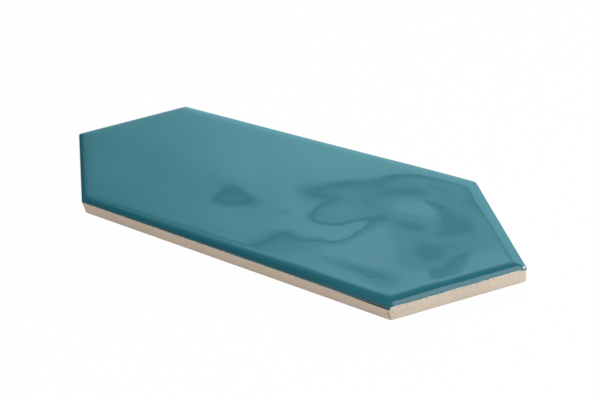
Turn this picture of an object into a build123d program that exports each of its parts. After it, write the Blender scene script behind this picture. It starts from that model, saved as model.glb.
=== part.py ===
"""Glazed ceramic picket tile, 10 x 30 cm format, as one fired solid.

The tile is an elongated hexagon. It lies on its back with the glazed face up, the length
along X and the width along Y. The origin is the middle of the back. A pressed clay body with
slightly drafted walls carries the glaze, which rolls down to a cushioned rim, stands out a
little over the clay and rises and sinks across the face in low swells. The back has shallow
keying fields between ribs, where the adhesive bites. Sizes are in millimetres.
"""

import os
from math import cos, hypot, radians, sin

from build123d import *

# Outline of the glaze, seen from above
tile_length = 300.0  # from tip to tip
tile_width = 102.0  # across the two long sides
tip_length = 49.0  # from a shoulder to its tip, along the length
corner_radius = 1.6  # of the six upright corners

# Glazed face and its cushioned rim
tile_thickness = 10.3  # from the back to the face, between its swells
rim_width = 8.0  # how far in from a side the face starts to roll down
rim_drop = 1.3  # how far the face falls across the roll
corner_blend = 4  # a higher power blends the rolls of two sides less at their corner
rim_radius = 0.8  # of the glaze's upper edge, where the roll meets its side
glaze_side = 1.4  # height of the glaze's upright side, below the roll

# Clay wall and foot
glaze_overhang = 0.1  # how far the glaze stands out over the clay below it
wall_draft = 0.1  # how far the wall leans in between the glaze and the foot
foot_chamfer = 0.2  # broken edge round the back

# Keying ribs on the back
back_border = 10.0  # flat land round the back
rib_count = 5  # one along the middle, the rest evenly to each side
rib_width = 4.0  # of the land left on top of each rib
key_depth = 0.5  # of the fields between the ribs

# Low swells of the glazed face, oval in plan; a negative rise is a hollow
# centre x, centre y, long radius, short radius, turn of the long radius in degrees, rise
swells = [
    (-124.0, 4.0, 26.0, 26.0, 0.0, 0.10),
    (-96.0, -10.0, 40.0, 30.0, -20.0, -0.20),
    (-70.0, 34.0, 34.0, 24.0, 0.0, 0.14),
    (-46.0, 4.0, 50.0, 34.0, -10.0, 0.30),
    (-30.0, 0.0, 24.0, 14.0, 0.0, 0.10),
    (-10.0, -22.0, 30.0, 20.0, 5.0, -0.22),
    (17.0, 4.0, 36.0, 12.0, -52.0, -0.14),
    (18.0, -54.0, 46.0, 34.0, 0.0, 0.30),
    (22.0, -24.0, 16.0, 13.0, 0.0, 0.06),
    (30.0, 30.0, 56.0, 36.0, 25.0, 0.34),
    (38.0, -1.0, 18.0, 14.0, 0.0, 0.05),
    (48.0, -31.0, 46.0, 22.0, 0.0, 0.28),
    (51.0, -6.0, 24.0, 18.0, 10.0, -0.16),
    (63.0, -12.0, 26.0, 13.0, 62.0, 0.12),
    (70.0, -31.0, 32.0, 10.0, 0.0, -0.10),
    (74.0, -48.0, 56.0, 22.0, 0.0, 0.36),
    (74.0, 49.0, 44.0, 28.0, 0.0, 0.34),
    (80.0, 11.0, 26.0, 15.0, 0.0, -0.13),
    (80.0, 25.0, 22.0, 12.0, 0.0, 0.07),
    (81.0, -27.0, 36.0, 18.0, -52.0, -0.16),
    (90.0, 4.0, 36.0, 34.0, 0.0, -0.20),
    (108.0, -25.0, 46.0, 16.0, -52.0, 0.15),
    (122.0, -36.0, 56.0, 46.0, 45.0, 0.56),
    (122.0, -2.0, 24.0, 20.0, 45.0, 0.10),
]

# Spline sheet that carries the face
sheet_step = 5.0  # spacing of its points
sheet_margin = 6.0  # how far it reaches past the outline

half_width = tile_width / 2
glaze_line = tile_thickness - rim_drop - glaze_side


def picket_corners(inset=0.0):
    """The six corners of the outline, with all its sides moved in by the inset."""
    slant = hypot(half_width, tip_length)
    tip = tile_length / 2 - inset * slant / half_width
    side = half_width - inset
    shoulder_x = tip - side * tip_length / half_width
    return [
        (tip, 0),
        (shoulder_x, side),
        (-shoulder_x, side),
        (-tip, 0),
        (-shoulder_x, -side),
        (shoulder_x, -side),
    ]


def picket_outline(height, inset=0.0):
    """The outline at a height, moved in by the inset, with its corners rounded."""
    with BuildSketch(Plane.XY.offset(height)) as outline:
        with BuildLine():
            Polyline(*picket_corners(inset), close=True)
        make_face()
        fillet(outline.vertices(), corner_radius)
    return outline.sketch


def edge_distances(x, y):
    """How far a point lies inside each of the six sides."""
    slant = hypot(half_width, tip_length)
    distances = [half_width - y, half_width + y]
    for along in (x, -x):
        for across in (y, -y):
            distances.append(((tile_length / 2 - along) * half_width - across * tip_length) / slant)
    return distances


def swell_height(x, y, swell):
    """Height that one swell adds at a point: a smooth dome over an oval."""
    swell_x, swell_y, long_radius, short_radius, turn, rise = swell
    right, up = x - swell_x, y - swell_y
    along = (right * cos(radians(turn)) + up * sin(radians(turn))) / long_radius
    across = (up * cos(radians(turn)) - right * sin(radians(turn))) / short_radius
    return rise * max(0.0, 1 - along**2 - across**2) ** 3


def roll_share(inside):
    """Share of the rim's drop at a distance inside a side: steeper and steeper, then straight on."""
    if inside < 0:
        return 1 - 3 * inside / rim_width
    return (1 - min(inside, rim_width) / rim_width) ** 3


def face_height(x, y):
    """Height of the glazed face: flat, plus its swells, less its roll near the sides."""
    rolls = [roll_share(inside) for inside in edge_distances(x, y)]
    deepest_roll = sum(roll**corner_blend for roll in rolls) ** (1 / corner_blend)
    return tile_thickness + sum(swell_height(x, y, swell) for swell in swells) - rim_drop * deepest_roll


def spaced(half_span):
    """Evenly spaced places from minus to plus a half span, about one sheet step apart."""
    steps = round(2 * half_span / sheet_step)
    return [half_span * (2 * i / steps - 1) for i in range(steps + 1)]


# Glazed face as a sheet, a little larger than the tile
sheet_points = [
    [(x, y, face_height(x, y)) for y in spaced(half_width + sheet_margin)]
    for x in spaced(tile_length / 2 + sheet_margin)
]
glazed_face = Face.make_surface_from_array_of_points(sheet_points)

# Clay body from the sole up: the broken foot edge, then the drafted wall up to the glaze
foot_inset = glaze_overhang + wall_draft
clay_sections = [
    picket_outline(0, foot_inset + foot_chamfer),
    picket_outline(foot_chamfer, foot_inset),
    picket_outline(glaze_line, glaze_overhang),
]
glaze_outline = picket_outline(glaze_line)
blank_height = 2 * tile_thickness

# Keying fields, all of one width, with the ribs between them
key_inset = foot_inset + foot_chamfer + back_border
key_span = tile_width - 2 * key_inset
rib_pitch = (key_span + rib_width) / (rib_count + 1)

with BuildPart() as tile:
    # Glaze: a blank with the tile's outline, cut off along the glazed face
    extrude(glaze_outline, amount=blank_height - glaze_line)
    extrude(glazed_face, amount=blank_height, dir=(0, 0, 1), mode=Mode.SUBTRACT)
    fillet(tile.faces().filter_by(GeomType.BSPLINE).sort_by(SortBy.AREA)[-1].edges(), rim_radius)

    # Clay body under the glaze
    loft(clay_sections, ruled=True)

    # Back: shallow fields between ribs, inside a flat border
    with BuildSketch() as keys:
        with BuildLine():
            Polyline(*picket_corners(key_inset), close=True)
        make_face()
        with GridLocations(0, rib_pitch, 1, rib_count):
            Rectangle(tile_length, rib_width, mode=Mode.SUBTRACT)
    extrude(amount=key_depth, mode=Mode.SUBTRACT)

tile.part.label = "picket_tile"
os.makedirs("parts", exist_ok=True)
export_step(tile.part, "parts/picket_tile.step")
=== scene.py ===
# %% [markdown]
# # A glazed picket tile
#
# A picket tile is a long hexagon of pressed clay with a pool of glossy glaze melted onto its face.
# Nearly all of its look is in two places: the wide shallow swells of the glaze, which only show by
# what they mirror, and the narrow cushioned rim, where the glaze rolls over and stops above the clay.
# We load the exact solid as a frame first, and then model a finer tile inside the same sizes.

# %% Load the frame
from math import cos, pi, radians, sin

import bmesh
import bpy
import numpy as np
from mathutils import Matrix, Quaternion, Vector


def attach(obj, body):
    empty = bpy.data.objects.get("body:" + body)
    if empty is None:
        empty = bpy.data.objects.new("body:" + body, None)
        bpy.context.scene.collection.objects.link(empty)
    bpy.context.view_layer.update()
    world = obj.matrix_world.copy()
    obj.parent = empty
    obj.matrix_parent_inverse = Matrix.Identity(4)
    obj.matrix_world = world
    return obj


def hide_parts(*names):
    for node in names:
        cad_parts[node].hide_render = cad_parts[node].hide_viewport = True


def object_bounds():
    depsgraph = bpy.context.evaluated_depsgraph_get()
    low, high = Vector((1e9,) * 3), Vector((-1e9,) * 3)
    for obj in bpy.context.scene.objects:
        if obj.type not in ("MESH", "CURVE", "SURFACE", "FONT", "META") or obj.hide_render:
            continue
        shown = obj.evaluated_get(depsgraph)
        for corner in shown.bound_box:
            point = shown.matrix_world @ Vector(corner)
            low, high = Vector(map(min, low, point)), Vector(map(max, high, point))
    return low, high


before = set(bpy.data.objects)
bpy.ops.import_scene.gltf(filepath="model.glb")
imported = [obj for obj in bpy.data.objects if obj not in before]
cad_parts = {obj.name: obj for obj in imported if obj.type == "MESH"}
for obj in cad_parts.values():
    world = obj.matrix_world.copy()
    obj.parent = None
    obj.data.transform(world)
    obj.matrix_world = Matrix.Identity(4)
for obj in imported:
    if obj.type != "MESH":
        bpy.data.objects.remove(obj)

solid_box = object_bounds()
print("solid, mm:", [round(1000 * (high - low), 2) for low, high in zip(*solid_box)])

# %% [markdown]
# ## Sizes
#
# Blender works in metres, and a tile is easier to think of in millimetres, so every size is written
# as a number of `MM`. The width comes from the frame's own box. The length is tip to tip with sharp
# corners, which the box can't give because the real tips are rounded, so it is named here.

# %% Sizes of the tile
MM = 0.001
half_width = solid_box[1].y
half_length = 150 * MM
tip_length = 49 * MM
shoulder_x = half_length - tip_length
corner_radius = 1.6 * MM
face_level = 10.3 * MM
glaze_line = 7.8 * MM
slant = Vector((half_width, tip_length)).length
print("half width, mm:", round(half_width / MM, 2), "side of a tip, mm:", round(slant / MM, 2))

# %% [markdown]
# ## Working by hand, in code
#
# Modelling by hand is a rhythm of picking something and then acting on it. These helpers do the
# picking: they go through the corners, edges or faces in edit mode and select those that pass a test
# of place. Everything else below is the same operators that the menus of edit mode call.

# %% Helpers for picking
def begin(piece):
    """Deselect all objects, then open this one for editing."""
    if bpy.context.mode != "OBJECT":
        bpy.ops.object.mode_set(mode="OBJECT")
    bpy.ops.object.select_all(action="DESELECT")
    piece.select_set(True)
    bpy.context.view_layer.objects.active = piece
    bpy.ops.object.mode_set(mode="EDIT")


def pick(piece, kind, test):
    """In edit mode, select the verts, edges or faces that pass the test, and say how many."""
    bpy.ops.mesh.select_mode(type={"verts": "VERT", "edges": "EDGE", "faces": "FACE"}[kind])
    bpy.ops.mesh.select_all(action="DESELECT")
    mesh = bmesh.from_edit_mesh(piece.data)
    chosen = [part for part in getattr(mesh, kind) if test(part)]
    for part in chosen:
        part.select_set(True)
    mesh.select_flush_mode()
    bmesh.update_edit_mesh(piece.data)
    return len(chosen)


def middle(edge):
    """The point halfway along an edge."""
    return (edge.verts[0].co + edge.verts[1].co) / 2


# %% [markdown]
# ## The outline
#
# The outline could be typed as six points. By hand it is quicker to add a plane as wide as the tile
# and as long as its straight sides, extrude each end and merge the new edge to a point: that is a
# tip. The lines left inside are dissolved, so that one face fills the hexagon.

# %% A plane with two tips
bpy.ops.object.select_all(action="DESELECT")
bpy.ops.mesh.primitive_plane_add(size=1, location=(0, 0, 0))
tile = bpy.context.object
tile.name = "glazed_tile"
begin(tile)
bpy.ops.transform.resize(value=(2 * shoulder_x, 2 * half_width, 1))
bpy.ops.transform.translate(value=(0, 0, glaze_line))
for end in (-1, 1):
    pick(tile, "edges", lambda edge: end * middle(edge).x > shoulder_x - 1 * MM)
    bpy.ops.mesh.extrude_region_move(TRANSFORM_OT_translate={"value": (end * tip_length, 0, 0)})
    bpy.ops.mesh.merge(type="CENTER")
pick(tile, "edges", lambda edge: len(edge.link_faces) == 2)
bpy.ops.mesh.dissolve_edges(use_verts=False)
print("outline corners:", len(tile.data.vertices), "->", len(bmesh.from_edit_mesh(tile.data).verts))

# %% [markdown]
# ## Rounded corners and divided sides
#
# The clay is pressed in a die whose corners are not knife sharp. A vertex bevel rounds them, and its
# width is worked out from the radius: the tip turns by about a right angle, so its arc starts
# further back than that of a shoulder. Then the straight sides are halved again and again until no
# edge is longer than about 1 mm, because every point on the outline becomes a line of points across
# the face. Subdivide would also cut the face from side to side, so the face is taken out first and
# filled again afterwards, and turned over if it came out face down.

# %% Round the corners and divide the sides
face_step = 1.1 * MM
arc_steps = 6
tip_half_turn = np.arctan2(half_width, tip_length)
corner_groups = {
    "tips": (lambda corner: abs(corner.co.x) > half_length - 1 * MM, np.tan(pi / 2 - tip_half_turn)),
    "shoulders": (lambda corner: abs(corner.co.y) > half_width - 1 * MM, np.tan(tip_half_turn / 2)),
}
for name, (test, tangent) in corner_groups.items():
    found = pick(tile, "verts", test)
    bpy.ops.mesh.bevel(affect="VERTICES", offset=corner_radius * tangent, segments=arc_steps, profile=0.5)
    print(name, "rounded:", found)

pick(tile, "faces", lambda face: True)
bpy.ops.mesh.delete(type="ONLY_FACE")
while pick(tile, "edges", lambda edge: edge.calc_length() > face_step):
    bpy.ops.mesh.subdivide(number_cuts=1)
bpy.ops.mesh.select_all(action="SELECT")
bpy.ops.mesh.edge_face_add()
if pick(tile, "faces", lambda face: face.normal.z < 0):
    bpy.ops.mesh.flip_normals()
print("points round the outline:", len(bmesh.from_edit_mesh(tile.data).verts))

# %% [markdown]
# ## The side of the glaze and its round edge
#
# The flat face sits where the glaze stops above the clay. It is extruded up to make the upright side
# of the glaze. The round upper edge could be a bevel, but a bevel is clamped by the short edges at
# the corners. A row of insets does the same with full control: each one goes in and up by the next
# step of a quarter circle.

# %% Extrude the side, inset the round edge
edge_radius = 0.9 * MM
edge_steps = 9
inner_rows = (0.2 * MM, 0.25 * MM)

pick(tile, "faces", lambda face: True)
side_height = face_level - edge_radius - glaze_line
bpy.ops.mesh.extrude_region_move(TRANSFORM_OT_translate={"value": (0, 0, side_height)})
quarter = [step * pi / 2 / edge_steps for step in range(edge_steps + 1)]
for start, end in zip(quarter, quarter[1:]):
    inward = edge_radius * (cos(start) - cos(end))
    upward = edge_radius * (sin(end) - sin(start))
    bpy.ops.mesh.inset(thickness=inward, depth=upward)
for row in inner_rows:
    bpy.ops.mesh.inset(thickness=row, depth=0)
print("faces so far:", len(bmesh.from_edit_mesh(tile.data).faces))

# %% [markdown]
# ## A grid for the face
#
# One large face can't bend, so it is deleted and its hole is filled with a grid. Grid Fill needs two
# opposite runs of edges: the two long sides, each up to the middle of its shoulders. The rest of the
# hole, round the tips, becomes the other two sides of the grid.

# %% Fill the face with a grid
bpy.ops.mesh.delete(type="ONLY_FACE")
rim_width_so_far = edge_radius + sum(inner_rows)
pick(
    tile,
    "edges",
    lambda edge: len(edge.link_faces) == 1
    and edge.verts[0].co.z > face_level - 0.01 * MM
    and abs(middle(edge).y) > half_width - rim_width_so_far - 0.1 * MM
    and abs(middle(edge).x) < shoulder_x,
)
before = len(bmesh.from_edit_mesh(tile.data).faces)
bpy.ops.mesh.fill_grid()
print("faces in the grid:", len(bmesh.from_edit_mesh(tile.data).faces) - before)
bpy.ops.object.mode_set(mode="OBJECT")

# %% [markdown]
# ## Swells and the roll of the rim
#
# A kiln leaves no glaze flat: it swells a third of a millimetre here and sinks there, far too little
# to see from the side, but each swell bends what the face mirrors. By hand this is proportional
# editing with a wide falloff. A short list of ovals does it more evenly: each is a smooth dome with
# a place, two radii, a turn and a rise, and a negative rise is a hollow. The roll is the last 8 mm,
# where the surface falls away towards every side, faster and faster.

# %% Raise the face
# centre x, centre y, long radius, short radius, turn in degrees, rise, all else in millimetres
swells = [
    (-124, 4, 26, 26, 0, 0.10),
    (-96, -10, 40, 30, -20, -0.20),
    (-70, 34, 34, 24, 0, 0.14),
    (-46, 4, 50, 34, -10, 0.30),
    (-30, 0, 24, 14, 0, 0.10),
    (-10, -22, 30, 20, 5, -0.22),
    (17, 4, 36, 12, -52, -0.14),
    (18, -54, 46, 34, 0, 0.30),
    (22, -24, 16, 13, 0, 0.06),
    (30, 30, 56, 36, 25, 0.34),
    (38, -1, 18, 14, 0, 0.05),
    (48, -31, 46, 22, 0, 0.28),
    (51, -6, 24, 18, 10, -0.16),
    (63, -12, 26, 13, 62, 0.12),
    (70, -31, 32, 10, 0, -0.10),
    (74, -48, 56, 22, 0, 0.36),
    (74, 49, 44, 28, 0, 0.34),
    (80, 11, 26, 15, 0, -0.13),
    (80, 25, 22, 12, 0, 0.07),
    (81, -27, 36, 18, -52, -0.16),
    (90, 4, 36, 34, 0, -0.20),
    (108, -25, 46, 16, -52, 0.15),
    (122, -36, 56, 46, 45, 0.56),
    (122, -2, 24, 20, 45, 0.10),
]
# fine ripples along the front, in the same order, which the solid leaves out
ripples = [
    (74, -40, 32, 10, 0, 0.024),
    (72, -47.5, 40, 5, 0, 0.05),
]
rim_width = 8 * MM
rim_drop = 1.3 * MM
corner_blend = 4


def swell_height(x, y, swell):
    """Height that one swell adds at each point: a smooth dome over an oval."""
    *place_and_radii, turn, rise = swell
    swell_x, swell_y, long_radius, short_radius = (size * MM for size in place_and_radii)
    right, up = x - swell_x, y - swell_y
    along = (right * cos(radians(turn)) + up * sin(radians(turn))) / long_radius
    across = (up * cos(radians(turn)) - right * sin(radians(turn))) / short_radius
    return rise * MM * np.clip(1 - along**2 - across**2, 0, None) ** 3


def side_distances(x, y):
    """How far each point lies inside the six sides of the outline."""
    ends = [((half_length - end * x) * half_width - side * y * tip_length) / slant
            for end in (-1, 1) for side in (-1, 1)]
    return [half_width - y, half_width + y, *ends]


def roll_depth(x, y):
    """How far the face has rolled down at each point, with the rolls of two sides blended."""
    rolls = [(1 - np.clip(inside, 0, rim_width) / rim_width) ** 3 for inside in side_distances(x, y)]
    return rim_drop * sum(roll**corner_blend for roll in rolls) ** (1 / corner_blend)


points = np.empty(3 * len(tile.data.vertices), np.float32)
tile.data.vertices.foreach_get("co", points)
points = points.reshape(-1, 3).astype(float)
on_top = points[:, 2] > glaze_line + 0.1 * MM
x, y = points[on_top, 0], points[on_top, 1]
rise = sum(swell_height(x, y, swell) for swell in swells + ripples) - roll_depth(x, y)
points[on_top, 2] += rise
tile.data.vertices.foreach_set("co", points.astype(np.float32).ravel())
tile.data.update()
print("highest and lowest of the face, mm:", round(points[:, 2].max() / MM, 2), round(rise.min() / MM, 2))

# %% [markdown]
# ## Clay body
#
# Underneath, the same face goes on downwards. An inset with a depth makes a tapered step in one go:
# first a narrow ledge where the glaze stands out over the clay, then the wall, which leans in a
# little so that the pressed tile leaves its die, then the broken edge of the foot.

# %% Ledge, wall and foot
glaze_overhang = 0.1 * MM
wall_draft = 0.1 * MM
foot_chamfer = 0.2 * MM

begin(tile)
bpy.ops.mesh.select_all(action="SELECT")
bpy.ops.mesh.normals_make_consistent(inside=False)
pick(tile, "faces", lambda face: len(face.verts) > 100)
bpy.ops.mesh.inset(thickness=glaze_overhang, depth=0)
bpy.ops.mesh.inset(thickness=wall_draft, depth=glaze_line - foot_chamfer)
bpy.ops.mesh.inset(thickness=foot_chamfer, depth=foot_chamfer)
lowest = min(corner.co.z for corner in bmesh.from_edit_mesh(tile.data).verts)
print("sole at, mm:", round(lowest / MM, 3))

# %% [markdown]
# ## Keyed back
#
# The back is hidden when the tile lies on the table, but it is what the adhesive grips. The sole is
# cut along straight lines with Bisect: six lines mark a border, and pairs of lines mark the ribs.
# The strips between the ribs are then extruded half a millimetre into the clay.

# %% Border, ribs and keying fields
back_border = 10 * MM
rib_count = 5
rib_width = 4 * MM
key_depth = 0.5 * MM
key_inset = glaze_overhang + wall_draft + foot_chamfer + back_border
rib_pitch = (2 * (half_width - key_inset) + rib_width) / (rib_count + 1)
rib_middles = [(place - (rib_count - 1) / 2) * rib_pitch for place in range(rib_count)]


def on_sole(face):
    """True for the faces that the tile lies on."""
    return face.normal.z < -0.99 and face.calc_center_median().z < 0.01 * MM


def cut_sole(point, normal):
    """Cut the sole along one straight line."""
    pick(tile, "faces", on_sole)
    bpy.ops.mesh.bisect(plane_co=point, plane_no=normal)


def in_field(face):
    """True for a strip of the sole that lies inside the border and between two ribs."""
    if not on_sole(face):
        return False
    centre = face.calc_center_median()
    inside = min(side_distances(centre.x, centre.y)) > key_inset
    return inside and all(abs(centre.y - rib) > rib_width / 2 for rib in rib_middles)


for side in (-1, 1):
    cut_sole((0, side * (half_width - key_inset), 0), (0, 1, 0))
    for end in (-1, 1):
        tip = half_length - key_inset * slant / half_width
        cut_sole((end * tip, 0, 0), (end * half_width, side * tip_length, 0))
    for rib in rib_middles:
        cut_sole((0, rib + side * rib_width / 2, 0), (0, 1, 0))
fields = pick(tile, "faces", in_field)
bpy.ops.mesh.extrude_region_move(TRANSFORM_OT_translate={"value": (0, 0, key_depth)})
print("keying fields:", fields)

# %% [markdown]
# ## Smooth shading
#
# All the curved faces shade smoothly, and the true edges, at the ledge, the foot and the keying
# fields, stay crisp. Normals are recalculated first, so that every face points outwards.

# %% Shade the tile
bpy.ops.mesh.select_all(action="SELECT")
bpy.ops.mesh.normals_make_consistent(inside=False)
bpy.ops.object.mode_set(mode="OBJECT")
bpy.ops.object.shade_smooth_by_angle(angle=radians(35))
print("triangles:", sum(len(face.vertices) - 2 for face in tile.data.polygons))

# %% [markdown]
# ## Nodes in few words
#
# A material is a small wiring diagram. A few helpers keep it readable: one starts a material, one adds
# a node with its settings and inputs, where an input takes a number, a colour or another node's output,
# and the others are nodes that come up again and again. Patterns are placed by Object coordinates, in
# metres from the middle of the back, so they stay on the tile wherever it goes.

# %% Helpers for materials
def new_material(name):
    """A node material, with its wiring and its main shader."""
    material = bpy.data.materials.new(name)
    material.use_nodes = True
    return material, material.node_tree, material.node_tree.nodes["Principled BSDF"]


def feed(tree, socket, value):
    """Set an input to a constant, or wire another node's output to it."""
    if isinstance(value, bpy.types.NodeSocket):
        tree.links.new(value, socket)
    else:
        socket.default_value = value


def add_node(tree, kind, sockets=None, **settings):
    """A node of this kind, with its settings made and its inputs fed."""
    node = tree.nodes.new("ShaderNode" + kind)
    for name, value in settings.items():
        setattr(node, name, value)
    for name, value in (sockets or {}).items():
        feed(tree, node.inputs[name], value)
    return node


def sum_of(tree, operation, first, second=0.0):
    """The output of one Math node."""
    return add_node(tree, "Math", {0: first, 1: second}, operation=operation).outputs[0]


def product(tree, share, *others):
    """Several shares multiplied together."""
    for other in others:
        share = sum_of(tree, "MULTIPLY", share, other)
    return share


def span(tree, value, low, high, to_low=0.0, to_high=1.0):
    """Take a value from one span to another with a soft start and end, and no further."""
    sockets = {"Value": value, "From Min": low, "From Max": high, "To Min": to_low, "To Max": to_high}
    return add_node(tree, "MapRange", sockets, interpolation_type="SMOOTHSTEP").outputs["Result"]


def noise(tree, place, scale, detail=2.0):
    """A soft random pattern between 0 and 1, this many waves to the metre."""
    return add_node(tree, "TexNoise", {"Vector": place, "Scale": scale, "Detail": detail}).outputs["Fac"]


def blend(tree, share, first, second):
    """One colour, the other, or a share of each."""
    return add_node(tree, "MixRGB", {"Fac": share, "Color1": first, "Color2": second}).outputs["Color"]


def distance(tree, place, centre):
    """How far a point is from a centre."""
    return add_node(tree, "VectorMath", {0: place, 1: centre}, operation="DISTANCE").outputs["Value"]


def places(tree):
    """Where a point is on the tile, and its three coordinates one by one."""
    place = add_node(tree, "TexCoord").outputs["Object"]
    return place, add_node(tree, "SeparateXYZ", {0: place}).outputs


# %% [markdown]
# ## Colour of the clay
#
# Fired clay is dry and pale, a warm beige, with a fine grain, a little cloud and faint streaks along the
# wall from the die. Stretching a noise along one axis, by scaling its coordinates down that way, is what
# makes streaks. The clay is browner and darker towards the foot, and the front right-hand corner took a
# few small knocks, which show as brown chips. The glaze thins out at its edge and lets the clay through,
# so it needs the same colour, and the colour is a function.

# %% Colour of the clay
def near_corner(tree, place):
    """A share that is 1 at the front right-hand corner and falls to nothing 4 mm away from it."""
    corner = (shoulder_x, -half_width, 4.5 * MM)
    return span(tree, distance(tree, place, corner), 1.5 * MM, 4 * MM, 1, 0)


def clay_colour(tree, place, height):
    """The clay's colour, with its cloud, its streaks, its grain, its chips and its brown foot."""
    cloud = blend(tree, noise(tree, place, 60), (0.735, 0.593, 0.500, 1), (0.825, 0.674, 0.574, 1))
    stretch = (0.06, 0.06, 1)
    long_ways = add_node(tree, "VectorMath", {0: place, 1: stretch}, operation="MULTIPLY").outputs[0]
    streaks = span(tree, noise(tree, long_ways, 700), 0.3, 0.48, 0.86, 1)
    streaked = blend(tree, streaks, (0.45, 0.33, 0.24, 1), cloud)
    grain = span(tree, noise(tree, place, 1500, 3), 0.3, 0.45, 0.75, 1)
    grainy = blend(tree, grain, (0.42, 0.30, 0.21, 1), streaked)
    patches = span(tree, noise(tree, place, 700, 3), 0.5, 0.6, 0, 0.7)
    chips = product(tree, near_corner(tree, place), patches)
    chipped = blend(tree, chips, grainy, (0.40, 0.26, 0.17, 1))
    # browner and darker within the last 0.9 mm above the sole
    above_foot = span(tree, height, 0.1 * MM, 0.9 * MM, 0.5, 1)
    return blend(tree, above_foot, (0.33, 0.23, 0.16, 1), chipped)


# %% [markdown]
# ## Painted shade line at the glaze's edge
#
# Next to the same corner, a thin near-black line of painted shade lies along the lower edge of the glaze.
# The line lies above and below the ledge, so both materials need it. Its place is a product of shares, one
# for each way in which the line ends: down, up, into the face, to the left and round the corner.

# %% Painted shade line
# near-black colour of the painted shade under the glaze's edge
shade_line_colour = (0.002, 0.018, 0.026, 1)
shade_line_start = 50 * MM


def painted_shade_line(tree, place):
    """A share that is 1 on the line of painted shade, on the front next to the corner."""
    along, across, height = add_node(tree, "SeparateXYZ", {0: place}).outputs
    bottom = span(tree, along, shade_line_start + 10 * MM, shoulder_x - 4 * MM, 7.9 * MM, 6.95 * MM)
    return product(
        tree,
        span(tree, sum_of(tree, "SUBTRACT", height, bottom), 0, 0.2 * MM),
        span(tree, height, 8.4 * MM, 8.8 * MM, 1, 0),
        span(tree, across, 1 * MM - half_width, 2 * MM - half_width, 1, 0),
        span(tree, along, shade_line_start, shoulder_x - 10 * MM),
        span(tree, along, shoulder_x - 0.6 * MM, shoulder_x + 0.1 * MM, 1, 0),
    )


# the length of the painted shade line
print("run of glaze, mm long:", round((shoulder_x - shade_line_start) / MM))

# %% [markdown]
# ## Clay
#
# The clay's own shader is dry: it is rough all over and has little gloss. The line of painted shade
# reaches down onto it.

# %% Clay material
clay, tree, shader = new_material("fired_clay")
place, (_, _, height) = places(tree)
# the painted shade line reaches down onto the clay
colour = blend(tree, painted_shade_line(tree, place), clay_colour(tree, place, height), shade_line_colour)
feed(tree, shader.inputs["Base Color"], colour)
shader.inputs["Roughness"].default_value = 0.9
shader.inputs["Specular IOR Level"].default_value = 0.2
print("clay nodes:", len(tree.nodes))

# %% [markdown]
# ## The edge of the glaze
#
# The glaze stops above the clay in a ragged line. On the long front side it thins out over about a
# millimetre, and towards the right the line is lower and sharper. On the side of the tip it ends at the
# very edge, except for a drip at the tip itself, with a bare nick above it that shows the near-white of
# the painted highlight. So the line gets a height and a softness that depend on the place along the tile,
# noise moves it up and down, and a share tells glaze, at 1, from bare clay, at 0.

# %% Share of glaze
front_height, corner_height, tip_height = 8.2 * MM, 7.9 * MM, 9.05 * MM
soft_end, sharp_end = 30 * MM, shoulder_x - 10 * MM

glaze, tree, shader = new_material("teal_glaze")
place, (along, across, height) = places(tree)
at_tip = span(tree, along, shoulder_x - 0.3 * MM, shoulder_x + 0.5 * MM)
front_edge = span(tree, along, soft_end, sharp_end, front_height, corner_height)
edge_height = span(tree, at_tip, 0, 1, front_edge, tip_height)
drip = span(tree, along, half_length - 3.5 * MM, half_length - 1 * MM, 0, 0.9 * MM)
edge_height = sum_of(tree, "SUBTRACT", edge_height, drip)
ragged = span(tree, noise(tree, place, 500, 3), 0.25, 0.75, -0.2 * MM, 0.2 * MM)
edge_height = sum_of(tree, "ADD", edge_height, ragged)
softness = span(tree, along, soft_end, sharp_end, 0.5 * MM, 0.15 * MM)
fade_foot = sum_of(tree, "SUBTRACT", edge_height, softness)
fade_top = sum_of(tree, "ADD", edge_height, softness)
# a nick in the glaze near the tip, which shows the near-white of the painted lip highlight
nick = (half_length - 1.7 * MM, -0.3 * MM, 9.3 * MM)
outside_nick = span(tree, distance(tree, place, nick), 0.4 * MM, 1.0 * MM, 0.1, 1)
glazed = product(tree, span(tree, height, fade_foot, fade_top), outside_nick)
print("nodes for the edge:", len(tree.nodes))

# %% [markdown]
# ## Colour of the glaze
#
# The glaze itself is coloured glass: a teal under a clear, sharp gloss, a little cloudy. Along the front
# and left rims the teal is painted deeper, as shade on the rolled rims. A few pinholes show where gas left
# it in the kiln: a flat Voronoi pattern gives each cell a point and a random number, and the points of
# the few cells with a high number become holes.

# %% Teal, painted rim shade and pinholes
teal = blend(tree, noise(tree, place, 40), (0.0195, 0.132, 0.174, 1), (0.0215, 0.141, 0.185, 1))
towards_corner = span(tree, along, 30 * MM, shoulder_x)
# painted shade: a deeper teal along the front and left rims
rim_shade_teal = blend(tree, towards_corner, (0.0145, 0.107, 0.142, 1), (0.0205, 0.138, 0.181, 1))
inward = (half_width / slant, tip_length / slant, 0)
from_middle = add_node(tree, "VectorMath", {0: place, 1: inward}, operation="DOT_PRODUCT").outputs["Value"]
from_left = sum_of(tree, "ADD", from_middle, half_length * half_width / slant)
from_front = sum_of(tree, "ADD", across, half_width)
clear_of_rim = span(tree, sum_of(tree, "MINIMUM", from_front, from_left), 1.1 * MM, 3.4 * MM)
teal = blend(tree, clear_of_rim, rim_shade_teal, teal)

cells = add_node(tree, "TexVoronoi", {"Vector": place, "Scale": 90}, voronoi_dimensions="2D").outputs
lot = add_node(tree, "SeparateXYZ", {0: cells["Color"]}).outputs["X"]
near_point = span(tree, cells["Distance"], 0.01, 0.028, 1, 0)
pinholes = product(tree, near_point, span(tree, lot, 0.86, 0.88))
teal = blend(tree, pinholes, teal, (0.17, 0.28, 0.30, 1))
print("glaze nodes so far:", len(tree.nodes))
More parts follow.
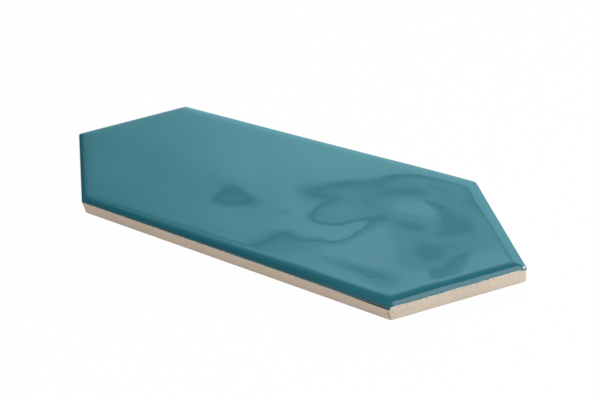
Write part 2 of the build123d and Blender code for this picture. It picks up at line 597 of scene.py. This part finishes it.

# %% [markdown]
# ## Glaze
#
# Below its edge the colour and the gloss of the glaze both give way to clay. At the tip the edge has a
# painted highlight, a near-white band along the lip, with ochre specks under it. The finest relief, an
# orange peel of a few thousandths of a millimetre, is a bump.

# %% Glaze material
under_edge = sum_of(tree, "SUBTRACT", edge_height, height)
lip_highlight = product(tree, at_tip, span(tree, under_edge, 0.1 * MM, 0.35 * MM, 1, 0))
# painted highlight: near-white along the glaze's lip at the tip
bare_with_highlight = blend(tree, lip_highlight, clay_colour(tree, place, height), (0.84, 0.86, 0.82, 1))
specks = product(
    tree,
    at_tip,
    span(tree, under_edge, 0.3 * MM, 0.45 * MM),
    span(tree, under_edge, 0.8 * MM, 1.1 * MM, 1, 0),
    span(tree, noise(tree, place, 1100), 0.5, 0.56, 0, 0.75),
)
bare = blend(tree, specks, bare_with_highlight, (0.42, 0.24, 0.10, 1))
# the painted shade line lies over the glaze as well
finished = blend(tree, painted_shade_line(tree, place), blend(tree, glazed, bare, teal), shade_line_colour)

feed(tree, shader.inputs["Base Color"], finished)
feed(tree, shader.inputs["Roughness"], span(tree, glazed, 0.2, 1, 0.9, 0.035))
shader.inputs["IOR"].default_value = 1.5
peel = add_node(tree, "Bump", {"Height": noise(tree, place, 350), "Strength": 1, "Distance": 0.004 * MM})
feed(tree, shader.inputs["Normal"], peel.outputs["Normal"])
print("glaze nodes:", len(tree.nodes))

# %% [markdown]
# ## Which faces are glazed
#
# Both materials go into the tile's slots. The ledge in the side tells them apart by height.

# %% Give the faces their materials
tile.data.materials.append(glaze)
tile.data.materials.append(clay)
for face in tile.data.polygons:
    face.material_index = 0 if face.center.z > glaze_line + 0.01 * MM else 1
print("clay faces:", sum(face.material_index for face in tile.data.polygons))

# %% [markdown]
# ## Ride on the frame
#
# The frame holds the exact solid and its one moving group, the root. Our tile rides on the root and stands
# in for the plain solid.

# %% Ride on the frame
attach(tile, "root")
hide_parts("picket_tile")

# %% [markdown]
# ## Floor
#
# The tile lies on white paper that goes on far past the edges of the picture. Real paper under studio
# light comes out a little grey, so most of it glows at exactly white where the camera, or the glaze as
# a mirror, looks at it. The Light Path node tells those looks from the bounces that light the tile,
# which still meet plain paper. The small share of real paper left keeps the soft shadow at the foot.

# %% Floor
floor_size = 40
glow_share = 0.98

bpy.ops.object.select_all(action="DESELECT")
bpy.ops.mesh.primitive_plane_add(size=floor_size, location=(0, 0, 0))
floor = bpy.context.object
floor.name = "floor"

paper, tree, shader = new_material("white_paper")
shader.inputs["Base Color"].default_value = (0.9, 0.9, 0.9, 1)
shader.inputs["Roughness"].default_value = 1
shader.inputs["Specular IOR Level"].default_value = 0
ray = add_node(tree, "LightPath").outputs
looks = sum_of(tree, "MAXIMUM", ray["Is Camera Ray"], ray["Is Glossy Ray"])
looks = sum_of(tree, "MAXIMUM", looks, ray["Is Transmission Ray"])
glow = add_node(tree, "Emission", {"Color": (1, 1, 1, 1), "Strength": 1})
mix = add_node(tree, "MixShader", {0: product(tree, looks, glow_share)})
tree.links.new(shader.outputs[0], mix.inputs[1])
tree.links.new(glow.outputs[0], mix.inputs[2])
tree.links.new(mix.outputs[0], tree.nodes["Material Output"].inputs["Surface"])
floor.data.materials.append(paper)
print("floor, m:", [round(size, 1) for size in floor.dimensions])

# %% [markdown]
# ## What the glaze mirrors
#
# A glossy tile is a picture of the room it stands in. Behind the tile stands a tall pale studio wall,
# lit in bands: a light band low down, a thin dark gap, a softer band above it, and a lamp strip on top.
# A flat mirror would show the gap as one straight line. The swells bend it into the loops that we see in
# the glaze, so the place of the gap is chosen to cross the tile. The bands are a colour ramp over the
# angle above the horizon.

# %% Bands on the wall
sky_level = 3.15
wall_green = 0.92
# degrees above the horizon, how bright the wall is there, and how much red its blue-green has
sky_bands = [
    (0, 0.5, 0.47), (20, 0.72, 0.47), (34, 0.9, 0.47), (38, 0.93, 0.47), (39.5, 0.9, 0.48),
    (40.25, 0.92, 0.48), (40.6, 0.37, 0.48), (40.95, 0.37, 0.48), (41.5, 0.67, 0.48), (42.6, 0.73, 0.48),
    (43.2, 0.92, 0.5), (44.5, 0.97, 0.52), (46.5, 0.86, 0.52), (48, 0.45, 0.6), (50, 0.25, 0.6),
    (53, 0.12, 0.6), (60, 0.04, 0.6), (90, 0.04, 0.6),
]
world = bpy.data.worlds.new("studio")
bpy.context.scene.world = world
world.use_nodes = True
tree = world.node_tree
background = tree.nodes["Background"]
background.inputs["Strength"].default_value = sky_level
way = add_node(tree, "TexCoord").outputs["Generated"]
right, ahead, up = add_node(tree, "SeparateXYZ", {0: way}).outputs

elevation = sum_of(tree, "DIVIDE", sum_of(tree, "ARCSINE", up), pi / 2)
bands = add_node(tree, "ValToRGB", {0: elevation})
stops = bands.color_ramp.elements
while len(stops) < len(sky_bands):
    stops.new(0.5)
for stop, (angle, level, red) in zip(stops, sky_bands):
    stop.position = angle / 90
    stop.color = (level * red, level * wall_green, level, 1)
print("bands on the wall:", len(stops))

# %% [markdown]
# ## Across the wall
#
# The wall is dim at its left end and grows lighter towards the right, and a darker panel hangs on it.
# Each of these is a level over the bearing, the angle to the left or right of straight ahead. The panel
# ends above and below as well.

# %% Left end, right end and panel
bearing = sum_of(tree, "ARCTAN2", right, ahead)


def across_wall(start, end, first=0.0, last=1.0):
    """A level that goes softly from first to last between two bearings, in degrees."""
    return span(tree, bearing, radians(start), radians(end), first, last)


def up_wall(start, end, first=0.0, last=1.0):
    """A level that goes softly from first to last between two heights, in degrees."""
    return span(tree, elevation, start / 90, end / 90, first, last)


sockets = {"Value": bearing, "From Min": radians(-55), "From Max": radians(-37), "To Min": 0.32}
dimming = add_node(tree, "MapRange", sockets).outputs["Result"]
dimming = product(tree, dimming, across_wall(-71, -59, 0.2, 1), across_wall(-36, -26, 1, 1.07))
panel_sides = product(tree, across_wall(-29.4, -27.8), across_wall(-25.8, -23.6, 1, 0))
panel = product(tree, panel_sides, up_wall(41.8, 42.6), up_wall(43.5, 44.2, 1, 0))
dimming = product(tree, dimming, span(tree, panel, 0, 1, 1, 0.57))
print("nodes of the wall:", len(tree.nodes))

# %% [markdown]
# ## The room
#
# In the mirror image the wall is blue-green, but the light that it throws on the clay is plain, so the
# clay keeps its own colour from every side. The camera's side of the room is dark, which keeps the front
# rim deep in colour. The camera itself sees plain white behind the floor.

# %% Room
room_level = 0.08
room_colour = (1.15 * room_level, room_level, 0.85 * room_level, 1)
to_wall = (-0.62, 0.784, 0)

ray = add_node(tree, "LightPath").outputs
plain = add_node(tree, "SeparateXYZ", {0: bands.outputs["Color"]}).outputs["Z"]
paint = blend(tree, ray["Is Glossy Ray"], plain, bands.outputs["Color"])
wall = add_node(tree, "VectorMath", {0: paint, "Scale": dimming}, operation="SCALE").outputs[0]
far_side = add_node(tree, "VectorMath", {0: way, 1: to_wall}, operation="DOT_PRODUCT").outputs["Value"]
surroundings = blend(tree, span(tree, far_side, 0.1, 0.4), room_colour, wall)
feed(tree, background.inputs["Color"], surroundings)

white_back = add_node(tree, "Background", {"Color": (1, 1, 1, 1), "Strength": 1})
seen = add_node(tree, "MixShader", {0: ray["Is Camera Ray"]})
tree.links.new(background.outputs[0], seen.inputs[1])
tree.links.new(white_back.outputs[0], seen.inputs[2])
tree.links.new(seen.outputs[0], tree.nodes["World Output"].inputs["Surface"])
print("nodes of the room:", len(tree.nodes))

# %% [markdown]
# ## Softbox
#
# One long white softbox hangs overhead and reaches down on the right. It lights the tile from above,
# and the rolled rim of the right-hand tip mirrors it as a pale strip. The flat of the face looks
# elsewhere, so the softbox stays out of it. A light's own local Z points away from what it lights.

# %% Key softbox
key_way = Vector((0.637, -0.131, 0.76)).normalized()
key_distance = 1.2
key_turn = radians(-27)

bpy.ops.object.select_all(action="DESELECT")
bpy.ops.object.light_add(type="AREA", location=key_distance * key_way)
key = bpy.context.object
key.name = "key_softbox"
key.rotation_mode = "QUATERNION"
key.rotation_quaternion = key_way.to_track_quat("Z", "Y") @ Quaternion((0, 0, 1), key_turn)
key.data.shape = "RECTANGLE"
key.data.size = 0.6
key.data.size_y = 2.48
key.data.energy = 12.8
key.data.color = (0.87, 1, 1.01)
print("softbox from:", [round(part, 2) for part in key.location])

# %% [markdown]
# ## Camera
#
# The camera looks down at the tile from the front right, from rather close by, so the far end runs
# together. Its place and lens were found by laying the six corners of the outline over those in the
# photo. Its local Z points backwards, away from what it sees, and a last turn about that axis is the
# tilt of the photo.

# %% Camera
camera_place = (260.9 * MM, -306.1 * MM, 334.6 * MM)
camera_elevation, camera_azimuth, camera_roll = radians(39.82), radians(38.36), radians(-10.21)

bpy.ops.object.select_all(action="DESELECT")
bpy.ops.object.camera_add(location=camera_place)
camera = bpy.context.object
camera.name = "camera"
bpy.context.scene.camera = camera
camera.data.sensor_width = 36
camera.data.lens = 55.1
camera.data.clip_start = 0.01
back = Vector((
    sin(camera_azimuth) * cos(camera_elevation),
    -cos(camera_azimuth) * cos(camera_elevation),
    sin(camera_elevation),
))
camera.rotation_mode = "QUATERNION"
camera.rotation_quaternion = back.to_track_quat("Z", "Y") @ Quaternion((0, 0, 1), camera_roll)
bpy.context.scene.view_settings.view_transform = "Standard"
print("camera to tile, mm:", round(camera.location.length / MM))
